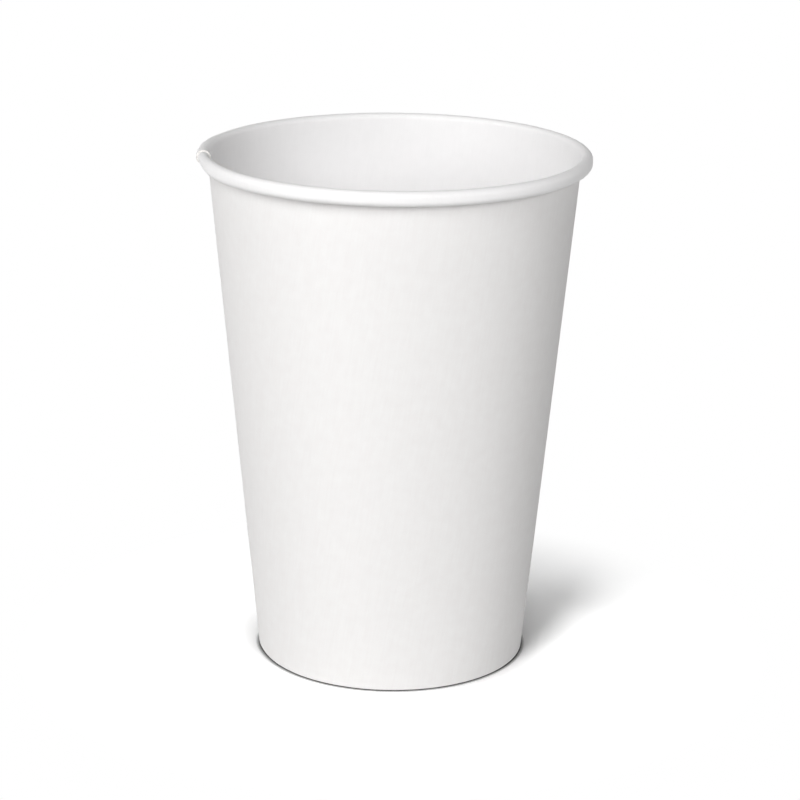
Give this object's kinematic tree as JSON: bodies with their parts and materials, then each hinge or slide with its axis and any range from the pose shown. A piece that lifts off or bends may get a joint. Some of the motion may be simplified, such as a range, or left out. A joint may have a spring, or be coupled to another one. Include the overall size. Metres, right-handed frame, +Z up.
{
  "type": "paper coffee cup",
  "caption": "Tapered single-wall paper cup with a rolled rim, an overlapped side seam and a raised bottom, for hot drinks.",
  "frame": {"origin": "middle of the foot, on the surface that the cup stands on", "axes": "+Z up along the cup's axis, -Y towards the front, side seam on the left near -X"},
  "size_m": [0.0904, 0.09, 0.1204],
  "materials": {
    "wall_board": "white paperboard, matt and uncoated outside, thin lining inside",
    "bottom_board": "white paperboard, thin lining on the upper face"
  },
  "bodies": {
    "root": {"sidewall": "wall_board", "bottom_disc": "bottom_board"}
  },
  "joints": []
}
